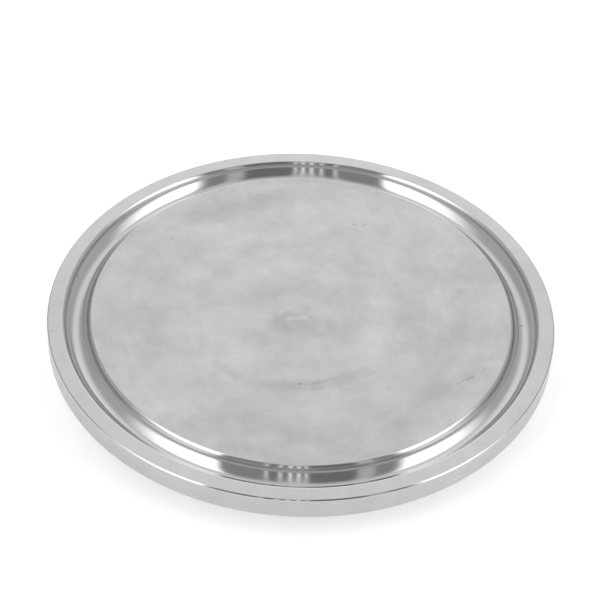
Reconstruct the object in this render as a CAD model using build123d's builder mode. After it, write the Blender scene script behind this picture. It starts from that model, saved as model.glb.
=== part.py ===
"""Sanitary clamp end cap: a blind disc, turned from stainless bar in one piece.

The cap closes a clamped tube joint of the 2 inch size. Its face carries the ring groove that
locates the gasket, and its back has the 20 degree shoulder that the two-piece clamp pulls on.

Millimetres. +Z is the turning axis and points out of the gasket face; the cap stands on its
flat back, and the origin is the centre of that back.
"""

from build123d import *
from math import radians, tan
import os

# Flange: the disc that the clamp closes round.
flange_diameter = 64.0
overall_thickness = 6.35  # back to rim
edge_height = 2.85  # from the shoulder up to the rim
shoulder_angle = 20.0  # of the clamping cone, from the plane of the face
rim_break = 0.15  # chamfer on the top corner of the flange

# Gasket groove, between the outer rim and the central land.
groove_mean_diameter = 56.6
groove_round = 1.5  # radius of the grooving tool's round
groove_depth = 1.6  # from the rim down to the bottom of the round
land_recess = 0.1  # how far the central land lies below the rim
lip_round = 0.4  # both lips of the groove

# Places that follow from the sizes above.
flange_radius = flange_diameter / 2
groove_mean_radius = groove_mean_diameter / 2
shoulder_height = overall_thickness - edge_height
back_radius = flange_radius - shoulder_height / tan(radians(shoulder_angle))
land_height = overall_thickness - land_recess
groove_centre_height = overall_thickness - groove_depth + groove_round

with BuildPart() as end_cap:
    with BuildSketch(Plane.XZ) as section:
        # Half section of the blank, its face already stepped down from the rim to the land.
        with BuildLine():
            Polyline(
                (0, 0),
                (back_radius, 0),
                (flange_radius, shoulder_height),
                (flange_radius, overall_thickness - rim_break),
                (flange_radius - rim_break, overall_thickness),
                (groove_mean_radius, overall_thickness),
                (groove_mean_radius, land_height),
                (0, land_height),
                close=True,
            )
        make_face()

        # The groove swallows the step, and its two lips are rolled over.
        with Locations((groove_mean_radius, groove_centre_height)):
            Circle(groove_round, mode=Mode.SUBTRACT)
        lips = section.vertices().filter_by_position(
            Axis.X,
            groove_mean_radius - groove_round,
            groove_mean_radius + groove_round,
        )
        fillet(lips, radius=lip_round)
    revolve(axis=Axis.Z)

end_cap.part.label = "end_cap"

os.makedirs("parts", exist_ok=True)
export_step(end_cap.part, "parts/end_cap.step")
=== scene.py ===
"""Looks of the sanitary clamp end cap: turned and satined stainless steel on a white table.

Everything is in metres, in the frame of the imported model: +Z is the turning axis and points out
of the gasket face, and the table is at z = 0, under the flat back.
"""

from math import cos, pi, radians, sin, tan

import bpy
import numpy as np
from mathutils import Matrix, Vector


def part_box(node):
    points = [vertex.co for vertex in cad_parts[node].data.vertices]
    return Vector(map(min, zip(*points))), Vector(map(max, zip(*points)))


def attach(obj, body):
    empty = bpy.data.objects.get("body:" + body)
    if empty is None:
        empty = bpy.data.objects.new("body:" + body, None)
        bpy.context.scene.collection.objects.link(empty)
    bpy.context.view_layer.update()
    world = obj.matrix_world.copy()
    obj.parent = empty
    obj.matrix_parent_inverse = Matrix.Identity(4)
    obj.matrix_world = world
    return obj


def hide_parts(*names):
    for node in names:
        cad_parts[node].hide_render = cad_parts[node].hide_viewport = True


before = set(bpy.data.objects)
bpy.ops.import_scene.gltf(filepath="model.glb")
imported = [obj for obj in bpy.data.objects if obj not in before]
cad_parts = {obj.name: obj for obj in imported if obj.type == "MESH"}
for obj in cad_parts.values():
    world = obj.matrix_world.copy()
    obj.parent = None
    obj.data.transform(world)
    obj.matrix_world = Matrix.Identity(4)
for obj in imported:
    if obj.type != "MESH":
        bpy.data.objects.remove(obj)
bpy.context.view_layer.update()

MM = 0.001

# Sizes of the section. The flange's radius and the cap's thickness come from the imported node.
far_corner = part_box("end_cap")[1]
FLANGE_RADIUS = far_corner.x
THICKNESS = far_corner.z
EDGE_HEIGHT = 2.85 * MM
SHOULDER_ANGLE = radians(20)
GROOVE_MEAN_RADIUS = 28.3 * MM
GROOVE_ROUND = 1.5 * MM
GROOVE_DEPTH = 1.6 * MM
LAND_RECESS = 0.1 * MM
LIP_ROUND = 0.4 * MM
RIM_ROUND = 0.2 * MM  # softens the chamfer of the top corner
SHOULDER_ROUND = 0.15 * MM
BACK_ROUND = 0.5 * MM

SEGMENTS = 720  # steps round the axis
SUPPORT = 0.06 * MM  # width of the narrow band that keeps a flat face flat beside a round
POLE = 0.4 * MM  # radius of the small ring of triangles that closes each face at the axis


# ---------------------------------------------------------------- the turned body


def arc(centre, radius, start, end, steps):
    """Points centre + radius * (cos a, sin a), with a evenly from start to end in degrees."""
    a = np.radians(np.linspace(start, end, steps + 1))
    return np.stack([centre[0] + radius * np.cos(a), centre[1] + radius * np.sin(a)], 1)


def straight(a, b):
    """The line from a to b, with an extra point close to each end."""
    a, b = np.array(a), np.array(b)
    step = (b - a) / np.linalg.norm(b - a) * SUPPORT
    return np.array([a, a + step, b - step, b])


def section():
    """The half section as runs of (r, z) points with a finish each, from face to back.

    The groove is a circle whose lowest point is GROOVE_DEPTH under the rim. Each lip is a circle
    of LIP_ROUND that touches the flat face from below and the groove's circle from outside. So its
    centre is LIP_ROUND under the face, at a distance of both radii, added, from the groove's
    centre, and it is seen from there under the level line by asin(drop / distance).
    """
    land = THICKNESS - LAND_RECESS
    groove = np.array([GROOVE_MEAN_RADIUS, THICKNESS - GROOVE_DEPTH + GROOVE_ROUND])
    distance = GROOVE_ROUND + LIP_ROUND

    def lip(face, side):
        """Centre of the lip under that face, and its angle in degrees under the level line."""
        drop = groove[1] - (face - LIP_ROUND)
        centre = groove + (side * np.sqrt(distance**2 - drop**2), -drop)
        return centre, np.degrees(np.arcsin(drop / distance))

    inner, inner_dip = lip(land, -1)
    outer, outer_dip = lip(THICKNESS, 1)

    shoulder_z = THICKNESS - EDGE_HEIGHT
    back_radius = FLANGE_RADIUS - shoulder_z / tan(SHOULDER_ANGLE)
    rim = np.array([FLANGE_RADIUS - RIM_ROUND, THICKNESS - RIM_ROUND])
    # A round between the edge and the cone turns through 90 degrees less the cone's angle.
    bend = pi / 2 - SHOULDER_ANGLE
    shoulder = np.array(
        [FLANGE_RADIUS - SHOULDER_ROUND, shoulder_z + SHOULDER_ROUND * tan(bend / 2)]
    )
    # A round between the cone and the back turns through the cone's angle.
    back = np.array([back_radius - BACK_ROUND * tan(SHOULDER_ANGLE / 2), BACK_ROUND])

    inner_lip = arc(inner, LIP_ROUND, 90, inner_dip, 14)
    bottom = arc(groove, GROOVE_ROUND, 180 + inner_dip, 360 - outer_dip, 30)
    outer_lip = arc(outer, LIP_ROUND, 180 - outer_dip, 90, 14)
    rim_arc = arc(rim, RIM_ROUND, 90, 0, 9)
    shoulder_arc = arc(shoulder, SHOULDER_ROUND, 0, -np.degrees(bend), 7)
    back_arc = arc(back, BACK_ROUND, -90 + np.degrees(SHOULDER_ANGLE), -90, 5)

    return [
        (straight((POLE, land), inner_lip[0]), "land"),
        (inner_lip, "groove"),
        (bottom, "groove"),
        (outer_lip, "groove"),
        (straight(outer_lip[-1], rim_arc[0]), "rim"),
        (rim_arc, "groove"),
        (straight(rim_arc[-1], shoulder_arc[0]), "edge"),
        (shoulder_arc, "edge"),
        (straight(shoulder_arc[-1], back_arc[0]), "back"),
        (back_arc, "back"),
        (straight(back_arc[-1], (POLE, 0.0)), "back"),
    ]


def turned_body(name, finishes):
    """The section carried round the axis: (r cos t, r sin t, z), closed by a point at each pole.

    finishes lists the finishes' names in the order of the material slots.
    """
    profile, finish = [], []
    for points, kind in section():
        start = 1 if profile else 0
        profile.extend(points[start:])
        finish.extend([finishes.index(kind)] * (len(points) - 1))
    profile = np.array(profile)
    rows = len(profile)
    t = np.arange(SEGMENTS) * 2 * pi / SEGMENTS
    r, z = profile[:, 0, None], profile[:, 1, None]
    grid = np.stack([r * np.cos(t), r * np.sin(t), z + 0 * t], 2).reshape(-1, 3)
    poles = np.array([[0, 0, profile[0, 1]], [0, 0, profile[-1, 1]]])
    points = np.vstack([grid, poles])

    i, j = np.meshgrid(np.arange(rows - 1), np.arange(SEGMENTS), indexing="ij")
    k = (j + 1) % SEGMENTS
    quads = np.stack(
        [i * SEGMENTS + j, (i + 1) * SEGMENTS + j, (i + 1) * SEGMENTS + k, i * SEGMENTS + k], 2
    ).reshape(-1, 4)
    around = np.arange(SEGMENTS)
    following = (around + 1) % SEGMENTS
    last = (rows - 1) * SEGMENTS
    top = np.stack([0 * around + len(grid), around, following], 1)
    bottom = np.stack([0 * around + len(grid) + 1, last + following, last + around], 1)

    mesh = bpy.data.meshes.new(name)
    mesh.from_pydata(points.tolist(), [], quads.tolist() + top.tolist() + bottom.tolist())
    index = np.concatenate(
        [
            np.repeat(finish, SEGMENTS),
            np.full(SEGMENTS, finishes.index("land")),
            np.full(SEGMENTS, finishes.index("back")),
        ]
    ).astype(np.int32)
    mesh.polygons.foreach_set("material_index", index)
    mesh.polygons.foreach_set("use_smooth", np.ones(len(index), bool))
    mesh.validate()
    mesh.update()
    body = bpy.data.objects.new(name, mesh)
    bpy.context.scene.collection.objects.link(body)
    return body


# ---------------------------------------------------------------- finishes


def wire(tree, kind, at, **values):
    """A node of that kind, with inputs set by name or by number, as n0.

    A value that is a socket is linked, and any other is written in.
    """
    node = tree.nodes.new(kind)
    node.location = at
    for key, value in values.items():
        name = key.replace("_", " ")
        socket = node.inputs[int(key[1:])] if key[1:].isdigit() else node.inputs[name]
        if isinstance(value, bpy.types.NodeSocket):
            tree.links.new(value, socket)
        else:
            socket.default_value = value
    return node


def maths(tree, operation, at, a, b=0.0):
    """The value of a maths node."""
    node = tree.nodes.new("ShaderNodeMath")
    node.operation = operation
    node.location = at
    for socket, value in zip(node.inputs, (a, b)):
        if isinstance(value, bpy.types.NodeSocket):
            tree.links.new(value, socket)
        else:
            socket.default_value = value
    return node.outputs[0]


def remap(tree, at, value, a, b, c, d, smooth=True):
    """value carried from the range a to b to the range c to d, and held at its ends."""
    node = tree.nodes.new("ShaderNodeMapRange")
    node.location = at
    node.interpolation_type = "SMOOTHSTEP" if smooth else "LINEAR"
    for key, number in (("From Min", a), ("From Max", b), ("To Min", c), ("To Max", d)):
        node.inputs[key].default_value = number
    tree.links.new(value, node.inputs["Value"])
    return node.outputs["Result"]


def span(tree, at, x, y):
    """The length of (x, y): the root of x squared and y squared, added."""
    left, top = at
    squares = (
        maths(tree, "MULTIPLY", (left, top + 50), x, x),
        maths(tree, "MULTIPLY", (left, top - 50), y, y),
    )
    return maths(tree, "SQRT", (left + 200, top), maths(tree, "ADD", (left + 100, top), *squares))


def swung(tree, at, x, y, radius, least, along):
    """(x, y) over radius, and along as the third part, so that noise runs round the axis.

    The radius is held at least or more, which keeps the division safe at the axis.
    """
    left, top = at
    held = maths(tree, "MAXIMUM", (left, top + 100), radius, least)
    return wire(
        tree,
        "ShaderNodeCombineXYZ",
        (left + 200, top),
        X=maths(tree, "DIVIDE", (left + 100, top + 100), x, held),
        Y=maths(tree, "DIVIDE", (left + 100, top), y, held),
        Z=along,
    ).outputs[0]


# Three layers of hairlines: the angle they lie at in degrees, and a shift that parts the layers.
HAIR_LAYERS = ((17, 0.3), (-58, 1.7), (74, 3.1))
HAIR_STRETCH = (110.0, 3000.0, 110.0)
HAIR_LEVEL = 0.72  # the noise's value at the heart of a hairline
HAIR_WIDTH = 0.03
HAIR_SHADE = 0.12
RING_LEAST = 0.0005  # metres from the axis within which the rings stop narrowing
SWEEP_LEAST = 0.0015  # the same for the sweeps
SWEEP_CENTRE = (0.0014, 0.0016, 0.0)  # the sweeps turn round a point this far off the axis
PIT_CELLS = 260.0  # cells to the metre
PIT_RARITY = 0.86  # share of cells that have no pit
PIT_EDGE = (0.02, 0.05)  # whole inside the first distance and gone at the second
PIT_SHADE = 0.25
MARK_DEPTH = 0.000002  # metres


def turned_finish_group():
    """What a lathe and handling leave on steel, over Object coordinates.

    Rings: noise over (cos, sin, radius), stretched along the turning. Sweeps: the same, broader,
    round a point a little off the axis. Clouds: broad soft patches of the satin. Hairlines: thin
    bands where a stretched noise crosses HAIR_LEVEL. Pits: the hearts of a few cells. Shade
    multiplies the colour, and Height is in metres.
    """
    group = bpy.data.node_groups.new("turned_finish", "ShaderNodeTree")
    face = group.interface
    for name, value in (
        ("Ring Spacing", 0.0002),
        ("Ring Height", 0.0000004),
        ("Ring Shade", 0.02),
        ("Sweep Size", 0.003),
        ("Sweep Shade", 0.0),
        ("Cloud Size", 0.006),
        ("Cloud Shade", 0.04),
        ("Hairlines", 0.3),
        ("Pits", 0.3),
        ("Roughness", 0.3),
        ("Roughness Spread", 0.04),
    ):
        face.new_socket(name, in_out="INPUT", socket_type="NodeSocketFloat").default_value = value
    for name in ("Shade", "Roughness", "Height"):
        face.new_socket(name, in_out="OUTPUT", socket_type="NodeSocketFloat")
    given = group.nodes.new("NodeGroupInput")
    given.location = (-1600, 0)
    put = group.nodes.new("NodeGroupOutput")
    put.location = (900, 0)
    into = given.outputs

    place = wire(group, "ShaderNodeTexCoord", (-1600, 400)).outputs["Object"]
    parts = wire(group, "ShaderNodeSeparateXYZ", (-1400, 400), Vector=place).outputs
    radius = span(group, (-1200, 400), parts["X"], parts["Y"])
    # Along the section the tool's path is the radius on a face and the height on a wall.
    path = maths(group, "ADD", (-900, 300), radius, parts["Z"])
    turns = maths(group, "DIVIDE", (-800, 300), path, into["Ring Spacing"])
    around = swung(group, (-900, 500), parts["X"], parts["Y"], radius, RING_LEAST, turns)
    rings = wire(
        group, "ShaderNodeTexNoise", (-400, 500), Vector=around, Scale=1.0, Detail=3.0
    ).outputs[0]

    off_axis = wire(group, "ShaderNodeVectorMath", (-1200, 900), n0=place, n1=SWEEP_CENTRE)
    off_axis.operation = "ADD"
    beside = wire(group, "ShaderNodeSeparateXYZ", (-1100, 900), Vector=off_axis.outputs[0]).outputs
    far = span(group, (-1000, 900), beside["X"], beside["Y"])
    reach = maths(group, "DIVIDE", (-700, 800), far, into["Sweep Size"])
    swept = swung(group, (-800, 900), beside["X"], beside["Y"], far, SWEEP_LEAST, reach)
    sweeps = wire(
        group,
        "ShaderNodeTexNoise",
        (-400, 900),
        Vector=swept,
        Scale=0.9,
        Detail=5.0,
        Roughness=0.55,
    ).outputs[0]

    clouds = wire(
        group,
        "ShaderNodeTexNoise",
        (-400, 200),
        Vector=place,
        Scale=maths(group, "DIVIDE", (-600, 200), 1.0, into["Cloud Size"]),
        Detail=9.0,
        Roughness=0.66,
    ).outputs[0]

    hairs = None
    for number, (angle, shift) in enumerate(HAIR_LAYERS):
        row = -200 - 220 * number
        turned_over = wire(
            group,
            "ShaderNodeVectorRotate",
            (-1200, row),
            Vector=place,
            Axis=(0.0, 0.0, 1.0),
            Angle=radians(angle),
        ).outputs[0]
        laid = wire(
            group,
            "ShaderNodeMapping",
            (-1000, row),
            Vector=turned_over,
            Location=(shift, shift * 0.7, 0.0),
            Scale=HAIR_STRETCH,
        ).outputs[0]
        noise = wire(
            group, "ShaderNodeTexNoise", (-800, row), Vector=laid, Scale=1.0, Detail=0.0
        ).outputs[0]
        off = maths(
            group,
            "ABSOLUTE",
            (-500, row),
            maths(group, "SUBTRACT", (-600, row), noise, HAIR_LEVEL),
        )
        thin = remap(group, (-400, row), off, 0.0, HAIR_WIDTH, 1.0, 0.0)
        hairs = thin if hairs is None else maths(group, "MAXIMUM", (-200, -300), hairs, thin)
    hairs = maths(group, "MULTIPLY", (0, -300), hairs, into["Hairlines"])

    cells = wire(group, "ShaderNodeTexVoronoi", (-800, -900), Vector=place, Scale=PIT_CELLS)
    tints = cells.outputs["Color"]
    rare = wire(group, "ShaderNodeSeparateColor", (-600, -1000), Color=tints).outputs[0]
    heart = remap(group, (-600, -850), cells.outputs["Distance"], *PIT_EDGE, 1.0, 0.0)
    chosen = maths(group, "GREATER_THAN", (-400, -1000), rare, PIT_RARITY)
    pits = maths(
        group,
        "MULTIPLY",
        (-200, -900),
        maths(group, "MULTIPLY", (-400, -900), heart, chosen),
        into["Pits"],
    )

    ring_wave = maths(group, "SUBTRACT", (-200, 500), rings, 0.5)
    cloud_wave = maths(group, "SUBTRACT", (-200, 200), clouds, 0.5)
    sweep_wave = maths(group, "SUBTRACT", (-200, 900), sweeps, 0.5)
    shade = maths(
        group,
        "ADD",
        (200, 400),
        maths(group, "MULTIPLY", (0, 500), ring_wave, into["Ring Shade"]),
        maths(group, "MULTIPLY", (0, 300), cloud_wave, into["Cloud Shade"]),
    )
    sweep_shade = maths(group, "MULTIPLY", (0, 900), sweep_wave, into["Sweep Shade"])
    shade = maths(group, "ADD", (300, 600), shade, sweep_shade)
    marks = maths(
        group,
        "ADD",
        (200, -300),
        maths(group, "MULTIPLY", (100, -300), hairs, HAIR_SHADE),
        maths(group, "MULTIPLY", (100, -500), pits, PIT_SHADE),
    )
    shade = maths(group, "SUBTRACT", (500, 300), maths(group, "ADD", (350, 400), shade, 1.0), marks)
    rough = maths(
        group,
        "ADD",
        (500, 0),
        maths(group, "MULTIPLY", (350, 0), cloud_wave, into["Roughness Spread"]),
        into["Roughness"],
    )
    height = maths(
        group,
        "SUBTRACT",
        (500, -300),
        maths(group, "MULTIPLY", (350, -200), ring_wave, into["Ring Height"]),
        maths(
            group,
            "MULTIPLY",
            (350, -400),
            maths(group, "ADD", (300, -500), hairs, pits),
            MARK_DEPTH,
        ),
    )
    group.links.new(shade, put.inputs["Shade"])
    group.links.new(rough, put.inputs["Roughness"])
    group.links.new(height, put.inputs["Height"])
    return group


def scratch_and_shade_group():
    """1 on a fine line from Start to End on the face, and 0 away from it.

    The distance to the line is taken to the nearest point between its ends, so a line whose ends
    meet is a pit. The places are in metres.
    """
    # The group draws scratches, pits and patches, and also a broad band of painted shade on the
    # land.
    group = bpy.data.node_groups.new("scratch", "ShaderNodeTree")
    for name in ("Start", "End"):
        group.interface.new_socket(name, in_out="INPUT", socket_type="NodeSocketVector")
    for name in ("Width", "Depth"):
        group.interface.new_socket(name, in_out="INPUT", socket_type="NodeSocketFloat")
    group.interface.new_socket("Mask", in_out="OUTPUT", socket_type="NodeSocketFloat")
    given = group.nodes.new("NodeGroupInput").outputs
    put = group.nodes.new("NodeGroupOutput")

    def vectors(operation, at, a, b, scalar=False):
        """The vector, or the number, that a vector maths node gives."""
        node = group.nodes.new("ShaderNodeVectorMath")
        node.operation = operation
        node.location = at
        group.links.new(a, node.inputs[0])
        group.links.new(b, node.inputs["Scale"] if operation == "SCALE" else node.inputs[1])
        return node.outputs["Value" if scalar else "Vector"]

    place = wire(group, "ShaderNodeTexCoord", (-900, 0)).outputs["Object"]
    flat = wire(group, "ShaderNodeVectorMath", (-800, 0), n0=place, n1=(1.0, 1.0, 0.0))
    flat.operation = "MULTIPLY"
    to_place = vectors("SUBTRACT", (-700, 0), flat.outputs[0], given["Start"])
    along = vectors("SUBTRACT", (-700, -200), given["End"], given["Start"])
    squared = vectors("DOT_PRODUCT", (-600, -200), along, along, True)
    length = maths(group, "MAXIMUM", (-500, -200), squared, 1e-12)
    share = vectors("DOT_PRODUCT", (-600, 0), to_place, along, True)
    share = maths(group, "DIVIDE", (-400, 0), share, length)
    share = maths(group, "MAXIMUM", (-300, 0), share, 0.0)
    share = maths(group, "MINIMUM", (-200, 0), share, 1.0)
    off = vectors("SUBTRACT", (0, 0), to_place, vectors("SCALE", (-100, -100), along, share))
    off = maths(group, "SQRT", (200, 0), vectors("DOT_PRODUCT", (100, 0), off, off, True))
    off = maths(group, "DIVIDE", (300, 0), off, given["Width"])
    line = remap(group, (400, 0), off, 0.3, 1.0, 1.0, 0.0)
    mask = maths(group, "MULTIPLY", (500, 0), line, given["Depth"])
    group.links.new(mask, put.inputs["Mask"])
    return group


# Handling marks and painted shade on the land: (x, y) of both ends, width and depth, lengths in
# millimetres.
LAND_MARKS_AND_SHADE = (
    ((6.5, 17.2), (6.6, 17.1), 0.30, 0.28),
    ((7.6, 16.9), (8.1, 17.3), 0.22, 0.20),
    ((-17.4, 12.8), (-17.3, 12.7), 0.28, 0.14),
    ((25.2, -5.4), (24.4, -6.3), 0.20, 0.07),
    ((23.9, -6.9), (23.5, -7.6), 0.30, 0.08),
    ((23.1, -8.9), (22.3, -10.1), 0.22, 0.10),
    ((21.2, -10.8), (20.5, -11.2), 0.30, 0.16),
    ((20.5, -11.2), (19.4, -12.1), 0.20, 0.10),
    ((18.6, -12.7), (16.9, -14.7), 0.24, 0.06),
    ((-1.2, -13.3), (1.2, -13.2), 0.35, 0.06),
    ((0.2, -13.2), (0.35, -13.2), 0.26, 0.20),
    ((1.6, -13.1), (4.4, -12.0), 0.40, 0.06),
    # Broad dull patches, the bright heart left where the tool ran out, and a broad band of painted
    # shade that darkens the front of the land.
    ((-2.5, -2.6), (3.0, -3.2), 2.6, 0.10),
    ((-1.2, -0.6), (0.4, 0.2), 1.2, 0.05),
    ((-1.6, -1.7), (0.6, -1.5), 0.5, -0.14),
    ((-10.0, -10.5), (-7.5, -12.2), 1.0, 0.07),
    ((-4.0, -13.4), (2.4, -13.4), 1.2, 0.09),
    ((2.4, -13.4), (8.5, -10.6), 1.2, 0.09),
    ((-14.0, 17.5), (-4.0, 21.5), 3.0, 0.09),
    ((20.7, -11.0), (11.0, -20.5), 1.6, 0.07),
    ((-13.0, -3.0), (-12.0, -9.0), 3.0, -0.04),
    ((8.0, 1.0), (10.0, -5.0), 3.2, -0.04),
    # Painted shade: this broad band darkens the front of the land.
    ((-9.0, -23.0), (11.0, -22.5), 6.0, 0.05),
    ((-6.0, 25.5), (9.0, 24.5), 3.5, 0.06),
    ((22.0, -14.0), (25.5, -3.0), 4.0, 0.05),
)
GROOVE_MARKS = (
    ((-26.1, 7.4), (-26.0, 7.5), 0.30, 0.35),
    ((28.1, 0.4), (28.1, 0.3), 0.28, 0.25),
)
RIM_MARKS = (((-31.3, -6.1), (-30.2, -5.8), 0.18, 0.18),)


def steel(name, grey, anisotropy, values, places=()):
    """A stainless finish: the shared turning marks over a metal that is smoother along the turning.

    values sets the group's inputs, and places lists marks and painted shade as in
    LAND_MARKS_AND_SHADE.
    """
    material = bpy.data.materials.new(name)
    material.use_nodes = True
    tree = material.node_tree
    shader = tree.nodes["Principled BSDF"]
    shader.inputs["Metallic"].default_value = 1.0
    shader.inputs["Anisotropic"].default_value = anisotropy
    shader.inputs["Anisotropic Rotation"].default_value = 0.25
    marks = tree.nodes.new("ShaderNodeGroup")
    marks.node_tree = turned
    marks.location = (-700, 100)
    for key, value in values.items():
        marks.inputs[key].default_value = value
    shade = marks.outputs["Shade"]
    # Each listed line takes its depth off the colour: handling marks, and on the land also a band
    # of painted shade.
    for number, (start, end, width, depth) in enumerate(places):
        line = tree.nodes.new("ShaderNodeGroup")
        line.node_tree = scratch_and_shade_lines
        line.location = (-700, 400 + 200 * number)
        line.inputs["Start"].default_value = (start[0] * MM, start[1] * MM, 0.0)
        line.inputs["End"].default_value = (end[0] * MM, end[1] * MM, 0.0)
        line.inputs["Width"].default_value = width * MM
        line.inputs["Depth"].default_value = depth
        shade = maths(tree, "SUBTRACT", (-500, 400 + 200 * number), shade, line.outputs["Mask"])
    tint = tree.nodes.new("ShaderNodeVectorMath")
    tint.operation = "SCALE"
    tint.location = (-350, 250)
    tint.inputs[0].default_value = (grey, grey, grey)
    tree.links.new(shade, tint.inputs["Scale"])
    tree.links.new(tint.outputs[0], shader.inputs["Base Color"])
    tree.links.new(marks.outputs["Roughness"], shader.inputs["Roughness"])
    height = marks.outputs["Height"]
    bump = wire(tree, "ShaderNodeBump", (-350, -150), Strength=1.0, Distance=1.0, Height=height)
    tree.links.new(bump.outputs[0], shader.inputs["Normal"])
    along = tree.nodes.new("ShaderNodeTangent")
    along.direction_type = "RADIAL"
    along.axis = "Z"
    along.location = (-350, -400)
    tree.links.new(along.outputs[0], shader.inputs["Tangent"])
    return material


turned = turned_finish_group()
scratch_and_shade_lines = scratch_and_shade_group()
FINISHES = {
    "land": steel(
        "satin_land",
        0.545,
        0.25,
        {
            "Roughness": 0.36,
            "Roughness Spread": 0.12,
            "Ring Spacing": 0.0007,
            "Ring Height": 3e-7,
            "Ring Shade": 0.06,
            "Sweep Size": 0.0042,
            "Sweep Shade": 0.30,
            "Cloud Size": 0.0052,
            "Cloud Shade": 0.62,
            "Hairlines": 0.35,
            "Pits": 0.6,
        },
        LAND_MARKS_AND_SHADE,
    ),
    "groove": steel(
        "polished_groove",
        0.56,
        0.9,
        {
            "Roughness": 0.12,
            "Roughness Spread": 0.03,
            "Ring Height": 0.0,
            "Ring Shade": 0.05,
            "Cloud Shade": 0.12,
            "Hairlines": 0.0,
            "Pits": 0.3,
        },
        GROOVE_MARKS,
    ),
    "rim": steel(
        "faced_rim",
        0.58,
        0.4,
        {
            "Roughness": 0.30,
            "Ring Height": 2e-7,
            "Ring Shade": 0.08,
            "Cloud Size": 0.004,
            "Cloud Shade": 0.30,
            "Hairlines": 0.4,
            "Pits": 0.3,
        },
        RIM_MARKS,
    ),
    # The edge's grey is set below the faces': part of it is painted shade, for the darker table
    # near the cap that the edge reflects.
    "edge": steel(
        "turned_edge",
        0.495,
        0.85,
        {
            "Roughness": 0.27,
            "Ring Height": 3e-7,
            "Ring Shade": 0.10,
            "Cloud Size": 0.004,
            "Cloud Shade": 0.25,
            "Hairlines": 0.4,
            "Pits": 0.3,
        },
    ),
    "back": steel(
        "turned_back",
        0.56,
        0.6,
        {
            "Ring Spacing": 0.0003,
            "Roughness": 0.30,
            "Ring Height": 8e-7,
            "Ring Shade": 0.12,
            "Cloud Shade": 0.20,
            "Hairlines": 0.5,
        },
    ),
}

cap = turned_body("end_cap_turned", list(FINISHES))
for finish in FINISHES.values():
    cap.data.materials.append(finish)
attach(cap, "root")
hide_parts("end_cap")


# ---------------------------------------------------------------- table


TABLE_HALF = 1.5  # metres
TABLE_TOP = -0.02 * MM  # a hair under the flat back
TABLE_GREY = 0.82
TABLE_LIFT = 0.41  # brings the table to white without more light on the cap


def table_top():
    """A white table under the flat back, and its plain matt finish."""
    mesh = bpy.data.meshes.new("table_top")
    signs = ((-1, -1), (1, -1), (1, 1), (-1, 1))
    corners = [(x * TABLE_HALF, y * TABLE_HALF, TABLE_TOP) for x, y in signs]
    mesh.from_pydata(corners, [], [(0, 1, 2, 3)])
    top = bpy.data.objects.new("table_top", mesh)
    bpy.context.scene.collection.objects.link(top)
    paint = bpy.data.materials.new("white_table")
    paint.use_nodes = True
    tree = paint.node_tree
    shader = tree.nodes["Principled BSDF"]
    shader.inputs["Base Color"].default_value = (TABLE_GREY, TABLE_GREY, TABLE_GREY, 1.0)
    shader.inputs["Roughness"].default_value = 0.9
    shader.inputs["Specular IOR Level"].default_value = 0.0
    shader.inputs["Emission Color"].default_value = (1.0, 1.0, 1.0, 1.0)
    rays = tree.nodes.new("ShaderNodeLightPath").outputs
    seen = maths(tree, "MAXIMUM", (-600, 0), rays["Is Camera Ray"], rays["Is Glossy Ray"])
    seen = maths(tree, "MAXIMUM", (-400, 0), seen, rays["Is Transmission Ray"])
    lift = maths(tree, "MULTIPLY", (-200, 0), seen, TABLE_LIFT)
    tree.links.new(lift, shader.inputs["Emission Strength"])
    # From below the table is clear, so that the back of the cap can be seen.
    clear = tree.nodes.new("ShaderNodeBsdfTransparent")
    side = tree.nodes.new("ShaderNodeMixShader")
    facing = tree.nodes.new("ShaderNodeNewGeometry")
    tree.links.new(facing.outputs["Backfacing"], side.inputs[0])
    tree.links.new(shader.outputs[0], side.inputs[1])
    tree.links.new(clear.outputs[0], side.inputs[2])
    output = tree.nodes["Material Output"]
    tree.links.new(side.outputs[0], output.inputs["Surface"])
    mesh.materials.append(paint)
    return top


table_top()


# ---------------------------------------------------------------- studio light


CAMERA_ELEVATION = radians(42.863)

# Lights and dark gaps of the studio: from and to in degrees round the fan's point, the softness
# of each edge in degrees, and the strength, which is below 0 for a gap.
PANELS = (
    (229, 250, 24, 3, 1.8),
    (299, 320, 5, 24, 1.8),
    (250, 297, 3, 4, -0.26),
    (262, 286, 2, 2, -0.11),
    (262.4, 263.2, 0.6, 0.6, 0.9),
    (266.0, 266.8, 0.6, 0.6, 1.0),
    (268.6, 269.3, 0.6, 0.6, 1.5),
    (270.8, 271.5, 0.6, 0.6, 1.5),
    (272.8, 273.4, 0.6, 0.6, 1.2),
    (286.5, 291, 2, 2, 0.32),
    (150, 205, 8, 8, -0.06),
)

SURROUND = 0.60  # plain level of the room
BACKDROP = 0.72  # how much brighter the backdrop is at its foot
BACKDROP_DEPTH = (0.4, 0.95)  # where it starts and is whole, as the direction's y
BACKDROP_SIDES = (0.12, 0.55)  # where it starts to fall off and is gone, as the direction's |x|
PANEL_LEAN = 8.0  # how many degrees the panels' soft edges lean in
LEAN_HEIGHT = (0.05, 0.6)  # whole at the first and gone at the second, as the direction's z
LEAN_FROM = 10  # an edge leans when it is softer than this, in degrees
# Lights and dark gaps start and end their rise at these distances from the fan's point.
LIGHT_RISE = (0.18, 0.48)
GAP_RISE = (0.30, 0.65)


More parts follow.
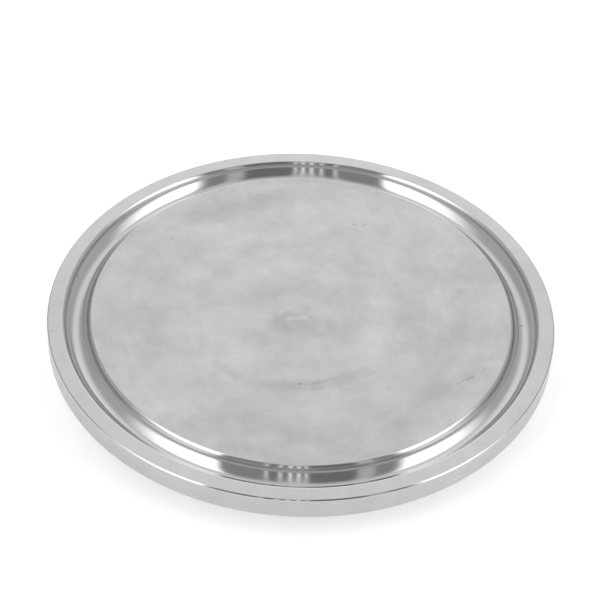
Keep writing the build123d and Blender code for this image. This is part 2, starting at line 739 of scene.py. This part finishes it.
def studio_light():
    """A soft pale studio, as a world that depends on direction only.

    Two tall white panels stand left and right of the viewer with a dark gap between them, a few
    narrow bright slits stand in the gap, and the rest is pale. Their edges fan out from the point
    of the sky that a flat, level face shows to the viewer, so they are given as angles about it,
    anticlockwise from +X: the angle is atan2(y - cos(CAMERA_ELEVATION), x) of the direction.
    """
    world = bpy.data.worlds.new("studio")
    bpy.context.scene.world = world
    world.use_nodes = True
    tree = world.node_tree
    way = wire(tree, "ShaderNodeTexCoord", (-1600, 0)).outputs["Generated"]
    parts = wire(tree, "ShaderNodeSeparateXYZ", (-1400, 0), Vector=way).outputs
    beyond = maths(tree, "SUBTRACT", (-1200, 0), parts["Y"], cos(CAMERA_ELEVATION))
    fan = maths(tree, "ARCTAN2", (-1000, 0), beyond, parts["X"])
    fan = maths(tree, "MULTIPLY", (-800, 0), fan, 180 / pi)
    fan = maths(tree, "FLOORED_MODULO", (-600, 0), fan, 360.0)

    def between(start, end, soft_start, soft_end, at):
        """1 inside the fan angles start to end, falling to 0 over the soft degrees around each.

        An edge softer than LEAN_FROM leans in towards the gap lower down.
        """
        left = right = fan
        if soft_start > LEAN_FROM:
            left = maths(tree, "SUBTRACT", (at, 300), fan, low_down)
        if soft_end > LEAN_FROM:
            right = maths(tree, "ADD", (at, -100), fan, low_down)
        ahead, behind = soft_start / 2, soft_end / 2
        rise = remap(tree, (at, 200), left, start - ahead, start + ahead, 0.0, 1.0)
        fall = remap(tree, (at, 0), right, end - behind, end + behind, 1.0, 0.0)
        return maths(tree, "MULTIPLY", (at + 200, 100), rise, fall)

    # Nearer to the fan's point the panels fade, so that the flat faces stay even.
    away = span(tree, (-1100, 400), beyond, parts["X"])
    light_rise = remap(tree, (-700, 400), away, *LIGHT_RISE, 0.0, 1.0)
    gap_rise = remap(tree, (-700, 200), away, *GAP_RISE, 0.0, 1.0)

    # The backdrop behind the cap is the brightest, and falls off to both sides.
    backdrop = remap(tree, (-600, 600), parts["Y"], *BACKDROP_DEPTH, 0.0, BACKDROP, smooth=False)
    across = maths(tree, "ABSOLUTE", (-800, 800), parts["X"])
    middle = remap(tree, (-600, 800), across, *BACKDROP_SIDES, 1.0, 0.0)
    level = maths(tree, "MULTIPLY", (-400, 600), backdrop, middle)
    level = maths(tree, "ADD", (-200, 600), level, SURROUND)
    low_down = remap(tree, (-600, -200), parts["Z"], *LEAN_HEIGHT, PANEL_LEAN, 0.0)

    for number, (start, end, soft_start, soft_end, strength) in enumerate(PANELS):
        row = 200 * number
        rise = gap_rise if strength < 0 else light_rise
        panel = between(start, end, soft_start, soft_end, -400)
        panel = maths(tree, "MULTIPLY", (0, row), panel, strength)
        panel = maths(tree, "MULTIPLY", (100, row), panel, rise)
        level = maths(tree, "ADD", (200, row), level, panel)
    lamp = tree.nodes["Background"]
    tree.links.new(level, lamp.inputs["Strength"])
    lamp.inputs["Color"].default_value = (1.0, 1.0, 1.0, 1.0)


studio_light()


# ---------------------------------------------------------------- camera


CAMERA_DISTANCE = 229.4 * MM
CAMERA_ROLL = radians(2.4726)
LENS = 108.755  # millimetres, on a sensor 36 wide
SENSOR = 36.0
# Where the middle of the rim's plane lies beside and below the lens's axis, at the cap.
CAP_ASIDE = 0.1834 * MM
CAP_BELOW = 1.1483 * MM


def turn(axis, angle):
    """The rotation by that angle about the axis, as a 3 x 3 matrix."""
    return Matrix.Rotation(angle, 3, axis)


def viewer():
    """A camera aimed a little above the middle of the rim's plane and rolled slightly.

    It stands CAMERA_DISTANCE from that middle, at CAMERA_ELEVATION in front. Level, it would look
    straight at the middle. It is then tilted until the middle lies CAP_ASIDE and CAP_BELOW off
    the lens's axis, and rolled about the line to the middle.
    """
    across, height = cos(CAMERA_ELEVATION), sin(CAMERA_ELEVATION)
    eye = Vector((0, -across, height)) * CAMERA_DISTANCE
    ahead = -eye.normalized()
    right = Vector((1, 0, 0))
    up = right.cross(ahead)
    aim = Vector((CAP_ASIDE, -CAP_BELOW, -CAMERA_DISTANCE)).normalized()
    tilt = Vector((0, 0, -1)).rotation_difference(aim).to_matrix()
    level = Matrix((right, up, -ahead))
    world_to_camera = turn(aim, CAMERA_ROLL) @ tilt @ level
    data = bpy.data.cameras.new("viewer")
    data.sensor_width = SENSOR
    data.lens = LENS
    data.clip_start = 0.01
    camera = bpy.data.objects.new("viewer", data)
    bpy.context.scene.collection.objects.link(camera)
    place = Matrix.Translation(eye + Vector((0, 0, THICKNESS)))
    camera.matrix_world = place @ world_to_camera.inverted().to_4x4()
    bpy.context.scene.camera = camera


viewer()
bpy.context.scene.view_settings.view_transform = "Standard"
